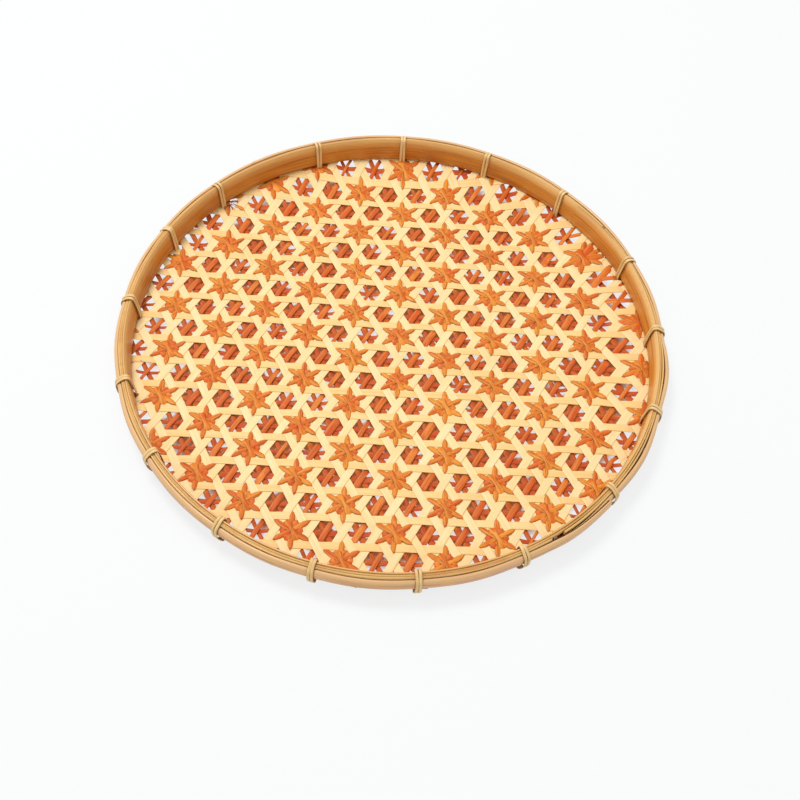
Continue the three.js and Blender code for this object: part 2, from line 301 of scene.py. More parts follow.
petalLook = {
    "light": (246, 164, 52),
    "deep": (224, 108, 34),
    "streak": (178, 68, 14),
    "stain": (214, 82, 20),
    "crestHighlight": (253, 202, 112),
    "edge": (152, 60, 14),
    "edgeAndShadeFrom": 0.45,
    "creaseShade": (112, 40, 12),
    "creaseShadeReach": 0.0016,
    "creaseShadeShare": 0.5,
    # painted shade where a dyed splint lies low under the mat
    "low": (186, 64, 22),
    "lowShadeRange": (-1.6, -0.3),
    "lowShadeShare": 0.7,
    "streaksAcross": 1.6,
    "streakLength": 14.0,
    "stainSize": 0.008,
    "fleckSize": 0.0015,
    "streakShare": 0.7,
    "fineShare": 0.7,
    "stainShare": 0.7,
    "fleckShare": 0.2,
    "crestHighlightShare": 0.4,
    "edgeAndShadeShare": 0.5,
    "gloss": 0.2,
    "roughness": 0.45,
    "relief": 0.7,
}
petalBamboo = makeBamboo("petalBamboo", petalLook)
underBamboo = makeBamboo("underBamboo", {
    **petalLook,
    "light": (240, 146, 58),
    "deep": (218, 102, 38),
    "crestHighlight": (250, 180, 104),
    "creaseShadeReach": 0.0032,
    "creaseShadeShare": 0.9,
    "edgeAndShadeShare": 0.35,
})
barBamboo = makeBamboo("barBamboo", {
    **petalLook,
    "light": (244, 158, 60),
    "deep": (228, 120, 38),
    "creaseShadeShare": 0.8,
})

hoopLook = {
    "light": (226, 152, 62),
    "deep": (212, 134, 46),
    "streak": (160, 88, 28),
    "stain": (186, 108, 40),
    "crestHighlight": (240, 196, 124),
    "edge": (176, 112, 48),
    "edgeAndShadeFrom": 0.8,
    "creaseShade": (88, 46, 20),
    "creaseShadeReach": 0.0015,
    "creaseShadeShare": 0.3,
    "streaksAcross": 4.0,
    "streakLength": 60.0,
    "stainSize": 0.03,
    "fleckSize": 0.0025,
    "streakShare": 0.7,
    "fineShare": 0.5,
    "stainShare": 0.6,
    "fleckShare": 0.25,
    "crestHighlightShare": 0.75,
    "edgeAndShadeShare": 0.25,
    "gloss": 0.4,
    "roughness": 0.32,
    "relief": 0.5,
}
innerHoopBamboo = makeBamboo("innerHoopBamboo", {
    **hoopLook,
    "sunny": (1.22, 1.42, 1.8, 1),  # paler where the hoop faces the light
    "sunnySide": (1.0, 0.2, 0.0),
    "sunnyRange": (0.09, 0.15),
    "sunnyShare": 0.6,
})
outerHoopBamboo = makeBamboo("outerHoopBamboo", {
    **hoopLook,
    "light": (251, 199, 130),
    "deep": (240, 180, 110),
    "streak": (158, 98, 56),
    "stain": (208, 144, 104),
    "crestHighlight": (252, 214, 150),
    # the wide edge coat darkens the foot and the top, partly painted shade on the lower face
    "edge": (190, 130, 96),
    "edgeAndShadeFrom": 0.45,
    "streakLength": 40.0,
    "streakShare": 0.75,
    "fineShare": 0.6,
    "edgeAndShadeShare": 0.4,
    "creaseShadeShare": 0.7,
})
fillerBamboo = makeBamboo("fillerBamboo", {
    **hoopLook,
    "light": (240, 196, 120),
    "deep": (224, 170, 90),
    "streak": (150, 94, 42),
    "edge": (150, 94, 44),
    "streaksAcross": 2.0,
    "fineShare": 0.35,
    "creaseShadeShare": 0.2,
    "edgeAndShadeShare": 0.05,
})
caneSkin = makeBamboo("caneSkin", {
    **hoopLook,
    "light": (246, 212, 148),
    "deep": (236, 196, 130),
    "streak": (200, 150, 86),
    "stain": (212, 162, 98),
    "edge": (150, 102, 54),
    "edgeAndShadeFrom": 0.6,
    "streaksAcross": 2.0,
    "streakLength": 25.0,
    "streakShare": 0.4,
    "stainShare": 0.3,
    "crestHighlightShare": 0.0,
    "edgeAndShadeShare": 0.6,
    "roughness": 0.4,
})
# dark brown as painted shade in the slot between the hoops
endShadeBamboo = makeBamboo("endShadeBamboo", {
    **hoopLook,
    "light": (112, 70, 38),
    "deep": (86, 50, 26),
    "streak": (60, 34, 18),
    "crestHighlight": (84, 50, 26),
})
fibreBamboo = makeBamboo("fibreBamboo", {
    **petalLook,
    "light": (122, 70, 66),
    "deep": (96, 52, 54),
    "crestHighlight": (120, 70, 66),
    "streak": (70, 36, 36),
})
print("materials made")


# Meshes

skin = {"mergeGap": 0.002, "sharpFrom": 50}


# A skin wrapped round a ring of points and swept over rows. place gives each point's
# position, its strip values and perhaps its lift. A loop closes the sweep on itself.
def sweep(mesh, rows, points, place, loop=False):
    layers = mesh.verts.layers.float_vector
    strip = layers.get("strip") or layers.new("strip")
    lifts = mesh.verts.layers.float
    lift = lifts.get("lift") or lifts.new("lift")
    spans = rows if loop else rows - 1
    grid = bmesh.ops.create_grid(mesh, x_segments=spans, y_segments=points, size=1)
    for vert in grid["verts"]:
        row = round((vert.co.x + 1) / 2 * spans) % rows
        point = round((vert.co.y + 1) / 2 * points) % points
        vert.co, values = place(row, point)
        vert[strip] = values[:3]
        vert[lift] = values[3] if len(values) > 3 else 0.0


def finishPiece(mesh, name, material, nodes=()):
    bmesh.ops.remove_doubles(mesh, verts=mesh.verts, dist=skin["mergeGap"])
    bmesh.ops.holes_fill(mesh, edges=[edge for edge in mesh.edges if edge.is_boundary], sides=0)
    bmesh.ops.recalc_face_normals(mesh, faces=mesh.faces)
    bmesh.ops.scale(mesh, vec=(mm, mm, mm), verts=mesh.verts)
    data = bpy.data.meshes.new(name)
    mesh.to_mesh(data)
    mesh.free()
    data.shade_smooth()
    data.set_sharp_from_angle(angle=math.radians(skin["sharpFrom"]))
    data.materials.append(material)
    piece = addObject(name, data)
    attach(piece, "root")
    if nodes:
        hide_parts(*nodes)
    return piece


def smooth(share):
    held = min(max(share, 0.0), 1.0)
    return held * held * (3 - 2 * held)


def rising(value, start, end):  # from 0 at the start to 1 at the end, which may be the lower one
    return smooth((value - start) / (end - start))


# Noise, mostly within half a unit either way. Bare numbers in a noise's place only set its
# pattern apart from the others.
def ripple(*place):
    return noise.noise(Vector(place))


def drift(seed, run, pace):
    return ripple(run / pace, seed * 17.3, 5.1)


def onRim(radius, turn, height):
    return Vector((radius * math.cos(turn), radius * math.sin(turn), height))


farSteepness = 1.5


def farSide(turn, lead=0.0):  # 0 on the near side of the rim and 1 on the far side
    return smooth(farSteepness * math.sin(turn) + lead)


# The flower by the rim that is split into fibres, and how much of its splints is gone
frays = {
    "middle": Vector((-115, 113)),
    "reach": 10.5,
    "fade": 7,
    "underCut": 0.8,
    "flowerCut": 0.9,
}


def frayed(spot):
    return smooth((frays["reach"] - (spot - frays["middle"]).length) / frays["fade"])


lashingAngles = [3, 23, 47, 68, 89, 110, 137, 154, 175, 196, 215, 236, 256, 276, 297, 320, 342]

# How far the outer hoop stands off between two lashings, as a share of its bulge
standOff = {
    "plain": 0.45,
    "spread": 0.4,
    "loose": {14: 1.5, 15: 1.3, 16: 1.7},  # by the number of the gap
}


def bulgeAt(angle):
    turned = angle % 360
    gap = sum(1 for lashed in lashingAngles if lashed <= turned) - 1
    start = lashingAngles[gap] - (360 if gap < 0 else 0)
    end = lashingAngles[(gap + 1) % len(lashingAngles)] + (360 if gap == len(lashingAngles) - 1 else 0)
    share = (turned - start) / (end - start)
    usual = standOff["plain"] + standOff["spread"] * ripple(gap * 3.3, 1.7, 0)
    size = standOff["loose"].get(gap, usual)
    return size * math.sin(math.pi * share) ** 2


# The mat: a flat weave that sags a little and turns up into the slot between the hoops

mat = {
    "middle": (foot("cream_diagonals") + top("cream_row_10")) / 2,
    "sag": 1.0,
    "flatness": 8,  # the higher, the nearer to the rim the sag ends
    "unevenness": 0.5,
    "unevenPace": 60,
    "slotRadius": 170.7,  # the strip ends stand here
    "bendRadius": 1.6,
    "slotShare": 0.7,  # strips lie closer together in the slot
    "petalRoom": 1.8,  # highest rise over the mat in the tray
    "edgeRoom": 0.35,  # highest rise under the inner hoop
    "roomRange": (159.5, 165.5),  # the one gives way to the other between these radii
    "follow": 0.5,  # how far the strip ends lean out with the outer hoop
    "drawnIn": 3.2,  # towards the tray's right and left the strips are drawn to the right
    "drawnAt": 145,
    "drawnBack": 1.0,
    "pressed": 0.011,  # the rows lie a little closer than the lattice
    "looseTurn": 60,  # the weave is looser towards this side, and its edge lies further out
    "looseness": 10.2,
    "looseFrom": (134, 162),
    "looseTo": (172, 162),
}
looseTurn = math.radians(mat["looseTurn"])
looseSide = Vector((math.cos(looseTurn), math.sin(looseTurn)))
bendStart = mat["slotRadius"] - mat["bendRadius"]


def loosened(flatSpot):
    held = 1 - min(flatSpot.length / bendStart, 1) ** mat["flatness"]
    drawn = mat["drawnIn"] * (flatSpot.x / mat["drawnAt"]) ** 2 - mat["drawnBack"]
    spot = flatSpot + held * Vector((drawn, -mat["pressed"] * flatSpot.y))
    away = max(spot.length, 1.0)
    facing = math.sqrt(max(spot.dot(looseSide) / away, 0))
    push = mat["looseness"] * rising(away, *mat["looseFrom"]) * rising(away, *mat["looseTo"])
    return spot * (1 + push * facing / away)


def onMat(flatSpot, lift):
    x, y = loosened(flatSpot)
    distance = max(math.hypot(x, y), 1.0)
    near = min(distance / bendStart, 1.0)
    lowered = rising(distance, *mat["roomRange"])
    rise = min(lift, mat["petalRoom"] + (mat["edgeRoom"] - mat["petalRoom"]) * lowered)
    free = 1 - near ** mat["flatness"]
    pace = mat["unevenPace"]
    level = mat["middle"] - mat["sag"] * free
    level += mat["unevenness"] * free * ripple(x / pace, y / pace, 2.7)
    if distance <= bendStart:
        return Vector((x, y, level + rise))
    rest = distance - bendStart
    turn = min(rest / mat["bendRadius"], math.pi / 2)
    climb = max(rest - mat["bendRadius"] * math.pi / 2, 0)
    closer = 1 + (mat["slotShare"] - 1) * math.sin(turn)
    out = mat["bendRadius"] - rise * closer + mat["follow"] * bulgeAt(math.degrees(math.atan2(y, x)))
    radius = bendStart + out * math.sin(turn)
    height = level + mat["bendRadius"] * (1 - math.cos(turn)) + rise * closer * math.cos(turn) + climb
    return Vector((x / distance * radius, y / distance * radius, height))


# The lattice that all strips follow, fitted to the flower nearest to the tray's middle

weave = {
    "holePitch": 20.0,
    "rowPitch": 18.05,
    "flower": (4.8, 7.1),
    "rimRadius": 167.8,
    "edgeRadius": 166.5,  # past it the rows follow the bend
    "highestEnd": 16.4,
    "lowestEnd": 10.5,
    "bendRows": 4,
    "flatRow": 1,  # how far before the bend a strip's end begins
    "mostLines": 12,  # on either side of the middle
    "mostFlowers": 6,
}
firstFlower = Vector(weave["flower"])
slant = math.atan2(weave["rowPitch"], weave["holePitch"] / 2)
slantPitch = weave["holePitch"] * math.sin(slant)


def heading(turn, pitch):
    along = Vector((math.cos(turn), math.sin(turn)))
    square = Vector((-along.y, along.x))
    return {"along": along, "square": square, "pitch": pitch, "start": firstFlower.dot(square)}


headings = {
    "Across": heading(0, weave["rowPitch"]),
    "Rising": heading(slant, slantPitch),
    "Falling": heading(math.pi - slant, slantPitch),
}
passesOver = {"Across": "Rising", "Rising": "Falling", "Falling": "Across"}


# Offsets of the lines of one direction that fit inside the rim
def linesOf(name, shift, width):
    way = headings[name]
    lines = range(-weave["mostLines"], weave["mostLines"] + 1)
    offsets = [way["start"] + (line + shift) * way["pitch"] for line in lines]
    return [offset for offset in offsets if abs(offset) + width / 2 <= weave["rimRadius"]]


# Where a line meets the nearest one that it passes over, and half the spacing of these
def crossing(name, offset, shift):
    way = headings[name]
    other = headings[passesOver[name]]
    slope = way["along"].dot(other["square"])
    otherOffset = other["start"] + shift * other["pitch"]
    run = (otherOffset - offset * way["square"].dot(other["square"])) / slope
    return run, other["pitch"] / abs(slope) / 2


def isFlower(spot):  # every third hole of a row is one
    return round((spot.x - firstFlower.x) / (weave["holePitch"] / 2)) % 3 == 0


# Radii of the rows of a strip's end, from the edge of the mat to its tip in the slot
def endRadii(chance):
    height = chance.uniform(weave["lowestEnd"], weave["highestEnd"])
    bend = mat["bendRadius"] * math.pi / 2
    tip = bendStart + bend + height - mat["middle"] - mat["bendRadius"]
    rows = weave["bendRows"]
    radii = [bendStart - weave["flatRow"]] + [bendStart + bend * step / rows for step in range(rows + 1)]
    middle = (radii[-1] + tip) / 2
    return radii + [middle, tip]


def endRuns(offset, chance):
    return [math.sqrt(max(radius ** 2 - offset ** 2, 0)) for radius in endRadii(chance)]


# Lays out a strip: the rows of one end, then the weave's, then those of the other end. A row
# is a run, or the number of a crossing and a step beyond it, which its piece makes a run.
def layStrip(strip, name, offset, shift, chance):
    origin, half = crossing(name, offset, shift)
    edge = math.sqrt(weave["edgeRadius"] ** 2 - offset ** 2)
    rows = [-run for run in reversed(endRuns(offset, chance))]
    for whole in range(math.floor((-edge - origin) / half), math.ceil((edge - origin) / half)):
        rows += [(whole, step) for step in strip["steps"]]
    rows += endRuns(offset, chance)
    seed = chance.random()
    width = strip["width"] + chance.uniform(-1, 1) * strip["widthSpread"]
    return rows, edge, origin, half, seed, width


cream = {
    "width": 5.0,
    "widthSpread": 0.25,
    "thickness": 0.36,
    "swing": 0.21,  # above and below the mat's middle
    "hold": 0.289,  # share of the way that a crossing holds the strip level
    "skew": 0.144,
    "wander": 0.8,
    "wanderPace": 80,
    "steps": (-1, 0, 0.25, 0.5, 0.75, 1),  # -1 is the middle of a crossing
    "ring": (
        (1, -0.4), (1, 0.4), (0.92, 1), (0.72, 1), (-0.72, 1),
        (-0.92, 1), (-1, 0.4), (-1, -0.4), (-0.92, -1), (0.92, -1),
    ),
}


# A strip lies over one direction at even phases and under the other at odd ones. The small
# triangle is on its left after an even phase, and there the strip turns late and fast.
def skewAt(whole, side):
    return cream["skew"] * (side if whole % 2 == 0 else -side)


def creamLift(phase, side):
    whole = math.floor(phase)
    hold = cream["hold"] + skewAt(whole, side)
    share = smooth((phase - whole - hold) / (1 - 2 * hold))
    sign = 1 if whole % 2 == 0 else -1
    return sign * (1 - 2 * share) * cream["swing"]


def creamPiece(mesh, name, offset, chance):
    way = headings[name]
    rows, edge, origin, half, seed, width = layStrip(cream, name, offset, 0.5, chance)

    def place(row, point):
        across, up = cream["ring"][point]
        run = rows[row]
        if isinstance(run, tuple):
            whole, step = run
            skew = skewAt(whole, across)
            hold = cream["hold"] + skew
            share = skew if step < 0 else hold + step * (1 - 2 * hold)
            run = min(max(origin + (whole + share) * half, -edge), edge)
        lift = creamLift((run - origin) / half, across)
        beside = offset + across * width / 2
        beside += cream["wander"] * drift(seed, run, cream["wanderPace"])
        spot = way["along"] * run + way["square"] * beside
        return onMat(spot, lift + up * cream["thickness"] / 2), (run, across, seed)

    sweep(mesh, len(rows), len(cream["ring"]), place)


def makeCream():
    chance = random.Random(11)
    for name in headings:
        material = creamAcross if name == "Across" else creamSlanting
        for number, offset in enumerate(linesOf(name, 0.5, cream["width"]), 1):
            mesh = bmesh.new()
            creamPiece(mesh, name, offset, chance)
            row = ["cream_row_%02d" % number] if name == "Across" else ["cream_diagonals"]
            finishPiece(mesh, "cream%s_%02d" % (name, number), material, row)


makeCream()
print("cream strips woven")


# Dyed splints under the mat, through the middles of the holes

under = {
    "width": 3.7,
    "widthSpread": 0.4,
    "lobeWidth": 1.3,  # times the width, at a flower
    "barWidth": 0.68,
    "lobeFrom": (0.2, 0.45),  # shares of the way from the middle of a hole to its edge
    "endWidth": 0.8,  # times the width, near the rim
    "endFrom": (142, 154),
    "uneven": 0.5,
    "thickness": 0.3,
    "crown": 0.12,
    "plainLevel": {"Rising": -0.6, "Across": -1.5, "Falling": -1.9},
    "plainShift": {"Rising": 0.1, "Across": -0.6, "Falling": 0.2},  # sideways in a plain hole
    "flowerLevel": {"Rising": -0.17, "Across": -0.49, "Falling": 1.4},
    "lobeLevel": {"Rising": 0.72, "Across": 0.62, "Falling": 0.6},
    "lobeHold": {"Rising": 0.1, "Across": 0.1, "Falling": 0.27},
    "lobeAt": {"Rising": 0.5, "Across": 0.5, "Falling": 0.58},
    "besideFlower": -0.75,
    "betweenPlain": -1.2,
    "hold": 0.3,
    "down": 0.79,
    "wander": 0.9,
    "wanderPace": 60,
    "overLevel": 0.8,  # some come up over the cream strips at the loose edge
    "overTurn": 24,
    "overFrom": (142, 149),
    "overSpread": (0.95, 0.98),  # cosines of how far round from there
    "steps": (0, 0.15, 0.3, 0.41, 0.52, 0.63, 0.74, 0.87),
    "ring": (
        (1, 0), (0.8, 1), (0.27, 1), (-0.27, 1), (-0.8, 1), (-1, 0), (-0.7, -1), (0.7, -1),
    ),
}


def comesOver(spot):
    turn = math.radians(under["overTurn"])
    facing = spot.dot(Vector((math.cos(turn), math.sin(turn)))) / max(spot.length, 1.0)
    return rising(facing, *under["overSpread"]) * rising(spot.length, *under["overFrom"])


def underPiece(mesh, name, offset, chance):
    way = headings[name]
    rows, edge, origin, half, seed, width = layStrip(under, name, offset, 0, chance)

    def runOf(row):
        if isinstance(row, tuple):
            whole, step = row
            return origin + (whole + (step if whole % 2 == 0 else 1 - step)) * half
        return row

    def spotAt(run):
        return way["along"] * run + way["square"] * offset

    def flowerAt(whole):
        return isFlower(spotAt(origin + whole * half))

    def levelAt(whole):
        if whole % 2 == 0:
            levels = under["flowerLevel"] if flowerAt(whole) else under["plainLevel"]
            return levels[name]
        beside = flowerAt(whole - 1) or flowerAt(whole + 1)
        return under["besideFlower"] if beside else under["betweenPlain"]

    def liftAt(run):
        phase = (run - origin) / half
        whole = math.floor(phase)
        share = phase - whole if whole % 2 == 0 else 1 - phase + whole
        hole, knot = (whole, whole + 1) if whole % 2 == 0 else (whole + 1, whole)
        start = under["hold"]
        level = levelAt(hole)
        if flowerAt(hole):
            start = under["lobeAt"][name]
            lobe = rising(share, under["lobeHold"][name], start)
            level += (under["lobeLevel"][name] - level) * lobe
        turned = rising(share, start, under["down"])
        return level + (levelAt(knot) - level) * turned

    def widthAt(run, hole):
        if flowerAt(hole):
            wide, narrow = under["lobeWidth"], under["barWidth"]
            away = abs(run - origin - hole * half) / half if name == "Falling" else 1.0
            return width * (narrow + (wide - narrow) * rising(away, *under["lobeFrom"]))
        size = width * (1 + under["uneven"] * ripple(hole * 2.3, seed * 17, 0.5))
        outermost = rising(spotAt(origin + hole * half).length, *under["endFrom"])
        return size * (1 + (under["endWidth"] - 1) * outermost)

    rows = sorted(rows, key=runOf)
    runs = [min(max(runOf(row), -edge), edge) if isinstance(row, tuple) else row for row in rows]

    def place(row, point):
        across, up = under["ring"][point]
        run = runs[row]
        crown = under["crown"] * (1 - across * across)
        phase = (run - origin) / half
        hole = 2 * round(phase / 2)
        shift = 0 if flowerAt(hole) else under["plainShift"][name]
        beside = offset + under["wander"] * drift(seed, run, under["wanderPace"])
        beside += shift * (1 - abs(phase - hole))
        left = widthAt(run, hole) * (1 - frays["underCut"] * frayed(spotAt(run)))
        spot = way["along"] * run + way["square"] * (beside + across * left / 2)
        level = liftAt(run)
        if name != "Falling":
            level += (under["overLevel"] - level) * comesOver(spot)
        lift = level + crown + up * under["thickness"] / 2
        return onMat(spot, lift), (run, across, seed, level)

    sweep(mesh, len(runs), len(under["ring"]), place)


def makeUnderSplints():
    chance = random.Random(23)
    for name in headings:
        mesh = bmesh.new()
        for offset in linesOf(name, 0, under["width"]):
            underPiece(mesh, name, offset, chance)
        material = barBamboo if name == "Falling" else underBamboo
        finishPiece(mesh, "under" + name, material, ["under_splints"])


makeUnderSplints()
print("under splints laid")


# Flower splints: they lie over a flower, dive through the small triangle beyond the hole's
# edge, run hidden under the crossing and rise to the next flower

petal = {
    "halfWidth": 1.6,
    "hiddenHalfWidth": 1.3,
    "thickness": 0.28,
    "crown": 0.3,
    "shoulder": 8.0,  # the petal keeps its width up to here
    "tip": 12.4,
    "tipHalfWidth": 0.15,
    "tipLength": 1.5,
    "roundness": 0.7,
    "root": 0.85,  # share of its width at the flower's middle
    "rootLength": 5.5,
    "tilt": 0.55,
    "rumple": 0.22,
    "rumplePace": 2.2,
    "leanFrom": (2, 5),  # a petal tilts and rumples from here on
    "leanTo": (12, 9),
    "climb": (2, 9),
    "overEdge": 0.6,  # level over the strip at the hole's edge
    "dive": (11.2, 13.4),
    "hidden": -0.75,
    "jitter": 0.5,  # sideways at a flower's middle
    "jitterLength": 15,
    "wander": 0.6,  # and sideways most at the middle of a petal
    "wanderPace": 40,
    "wanderAt": 6,
    "middleColumn": 6,
    "steps": (0, 1.5, 3, 4.5, 6, 7.2, 8, 8.8, 9.6, 10.3, 10.9, 11.4, 11.8, 12.1, 12.4, 12.9, 13.4, 15.5),
    "ring": (
        (1, 0), (0.82, 1), (0.42, 1), (0, 1), (-0.42, 1), (-0.82, 1), (-1, 0), (-0.6, -1), (0.6, -1),
    ),
}
rowPitch = weave["rowPitch"]
columnPitch = 1.5 * weave["holePitch"]
flowerWays = {
    "Up": {"next": Vector((0, 2 * rowPitch)), "line": Vector((columnPitch, rowPitch)), "level": 0.15},
    "Right": {"next": Vector((columnPitch, rowPitch)), "line": Vector((0, 2 * rowPitch)), "level": 0.45},
    "Left": {"next": Vector((-columnPitch, rowPitch)), "line": Vector((0, 2 * rowPitch)), "level": 0.75},
}


def petalHalfWidth(away):
    tip, narrow = petal["tip"], petal["tipHalfWidth"]
    if away >= tip:
        opening = smooth((away - tip) / petal["tipLength"])
        return narrow + (petal["hiddenHalfWidth"] - narrow) * opening
    share = max(away - petal["shoulder"], 0) / (tip - petal["shoulder"])
    widening = petal["root"] + (1 - petal["root"]) * smooth(away / petal["rootLength"])
    return max(petal["halfWidth"] * widening * (1 - share ** 2) ** petal["roundness"], narrow)


def petalLift(away, level):
    over = petal["overEdge"]
    if away <= petal["climb"][1]:
        return level + (over - level) * rising(away, *petal["climb"])
    return over + (petal["hidden"] - over) * rising(away, *petal["dive"])


# The line of one splint, so many lines away from the first flower
def flowerLine(name, number):
    way = flowerWays[name]
    spacing = way["next"].length
    along = way["next"] / spacing
    square = Vector((-along.y, along.x))
    flower = firstFlower + way["line"] * number
    return along, square, spacing, flower.dot(square), flower.dot(along)


def flowerPiece(mesh, name, line, chance):
    along, square, spacing, offset, origin = line
    edge = math.sqrt(weave["edgeRadius"] ** 2 - offset ** 2)
    seed = chance.random()
    reach = endRuns(offset, chance)
    runs = [-run for run in reversed(reach)] + reach
    for count in range(math.floor((-edge - origin) / spacing), math.ceil((edge - origin) / spacing) + 1):
        centre = origin + count * spacing
        for step in petal["steps"]:
            runs += [run for run in {centre - step, centre + step} if abs(run) < edge]
    rows = sorted(runs)

    def place(row, point):
        across, up = petal["ring"][point]
        run = rows[row]
        count = round((run - origin) / spacing)
        away = abs(run - origin - count * spacing)
        beyond = run > origin + count * spacing
        jitter = petal["jitter"] * drift(seed, count * 3.7, 1.0)
        crown = petal["crown"] * (1 - across * across)
        leaning = rising(away, *petal["leanFrom"]) * rising(away, *petal["leanTo"])
        tilt = petal["tilt"] * ripple(count * 5.3 + (2.1 if beyond else 0), seed * 11, 0) * across
        rumple = petal["rumple"] * ripple(run / petal["rumplePace"], across * 1.3, seed * 31)
        level = petalLift(away, flowerWays[name]["level"]) + (tilt + rumple) * leaning
        lift = level + crown + up * petal["thickness"] / 2
        halfWidth = petalHalfWidth(away)
        if name != "Up" or beyond:
            halfWidth *= 1 - frays["flowerCut"] * frayed(along * run + square * offset)
        beside = offset + across * halfWidth + jitter * smooth(1 - away / petal["jitterLength"])
        middle = petal["wanderAt"]
        wander = petal["wander"] * drift(seed, run, petal["wanderPace"])
        beside += wander * smooth(1 - abs(away - middle) / middle)
        spot = along * run + square * beside
        return onMat(spot, lift), (run, across, seed, level)

    sweep(mesh, len(rows), len(petal["ring"]), place)


def makeFlowers():
    chance = random.Random(37)
    room = weave["edgeRadius"] - petal["halfWidth"]
    tried = range(-weave["mostFlowers"], weave["mostFlowers"] + 1)
    for name in flowerWays:
        numbers = [number for number in tried if abs(flowerLine(name, number)[3]) <= room]
        upright = name == "Up"  # each upright splint is a piece of its own
        for batch in ([number] for number in numbers) if upright else [numbers]:
            mesh = bmesh.new()
            for number in batch:
                flowerPiece(mesh, name, flowerLine(name, number), chance)
            column = "_%02d" % (batch[0] + petal["middleColumn"]) if upright else ""
            nodes = ["flower_column" + column] if upright else []
            finishPiece(mesh, "flower" + name + column, petalBamboo, nodes)


makeFlowers()
print("flowers threaded")


# Hoops: split strips on edge, drawn from one end, once round, to the other end on its back

innerHoop = {
    "flat": 169.8,
    "side": -1,
    "thickness": 2.0,
    "foot": foot("hoop_inner"),
    "top": top("hoop_inner"),
    "start": 30,
    "lap": 12,
    "tip": 0.5,
    "endTip": 0.5,
    "flare": 1.6,  # its foot stands this much further in than its top
    "farRise": 0.0,
    "bulge": 0.0,
    "wave": 0.35,
    "seed": 0.31,
    "ring": (
        (0, 0.03), (0.12, 0), (0.5, 0), (0.78, 0.02), (0.92, 0.08), (1, 0.22), (1.02, 0.4), (0.98, 0.56),
        (0.9, 0.72), (0.78, 0.86), (0.62, 0.96), (0.4, 1), (0.12, 1), (0, 0.97), (0, 0.65), (0, 0.35),
    ),
}
outerHoop = {
    "flat": 172.0,
    "side": 1,
    "thickness": 3.0,
    "foot": foot("hoop_outer"),
    "top": top("hoop_outer"),
    "start": 306,
    "lap": 12,
    "tip": 0.4,
    "endTip": 1.7,
    "flare": 0.0,
    "farRise": 1.4,
    "bulge": 1.0,
    "wave": 0.45,
    "seed": 0.77,
    "ring": (
        (0, 0.05), (0.06, 0.01), (0.3, 0), (0.6, 0.05), (0.82, 0.15), (0.95, 0.3), (1, 0.46), (1, 0.6),
        (0.96, 0.74), (0.86, 0.87), (0.66, 0.96), (0.4, 1), (0.1, 0.99), (0, 0.95), (0, 0.65), (0, 0.35),
    ),
}


# The first end is shaved thin over this many laps, and the last one climbs onto its back
# between these degrees from the start
lapping = {"shaved": 1.6, "climb": (356, 362), "gap": 0.1, "wavePace": 24}


def hoopPiece(name, hoop, material, nodes):
    mesh = bmesh.new()
    rows = 361 + hoop["lap"]
    height = hoop["top"] - hoop["foot"]

    def depthAt(row):
        opening = smooth(row / (hoop["lap"] * lapping["shaved"]))
        return hoop["tip"] + (hoop["thickness"] - hoop["tip"]) * opening

    def place(row, point):
        across, up = hoop["ring"][point]
        angle = hoop["start"] + row
        turn = math.radians(angle)
        closing = rising(row, 360 - hoop["lap"], 360 + hoop["lap"])
        depth = depthAt(row) + (hoop["endTip"] - hoop["thickness"]) * closing
        climbed = rising(row, *lapping["climb"])
        shift = climbed * (depthAt(row - 360) + lapping["gap"]) + hoop["bulge"] * bulgeAt(angle)
        radius = hoop["flat"] + hoop["side"] * (shift + across * depth + hoop["flare"] * (1 - up))
        lift = hoop["wave"] * drift(hoop["seed"], row, lapping["wavePace"]) if 0 < row < rows - 1 else 0
        lift += hoop["farRise"] * farSide(turn)
        spot = onRim(radius, turn, hoop["foot"] + up * height + lift)
        return spot, (radius * math.radians(row), 2 * up - 1, hoop["seed"])

    sweep(mesh, rows, len(hoop["ring"]), place)
    finishPiece(mesh, name, material, nodes)


hoopPiece("hoopInner", innerHoop, innerHoopBamboo, ["hoop_inner"])
hoopPiece("hoopOuter", outerHoop, outerHoopBamboo, ["hoop_outer"])
print("hoops bent")


# Filler splints stand on edge in the slot and fan out where the outer hoop stands off

fillers = {
    "height": 3.4,
    "top": top("filler_inner"),
    "wave": 0.6,
    "wavePace": 13,
    "snugFrom": 137,  # here to there the splints fill the slot, and beyond the outer hoop stands off
    "snugTo": 297,
    "snugFollow": 0.2,
    "farLead": 0.2,
    "ring": ((0, 0), (1, 0), (1, 0.93), (0.85, 0.98), (0.5, 1), (0.15, 0.98), (0, 0.93)),
}
innerFiller = {
    "radius": 169.77,
    "thickness": 1.2,
    "start": 34,
    "turn": 359,
    "follow": 0.0,
    "fill": 0.0,
    "low": 0.0,
    "farLow": 0.0,
    "farOut": 0.0,
    "farWide": 0.4,
    "seed": 0.29,
}
outerFiller = {
    "radius": 170.96,
    "thickness": 1.06,
    "start": 306,
    "turn": 357,
    "follow": 0.35,
    "fill": 0.85,
    "low": 0.25,
    "farLow": 2.0,
    "farOut": 0.4,
    "farWide": -0.4,
    "seed": 0.58,
}


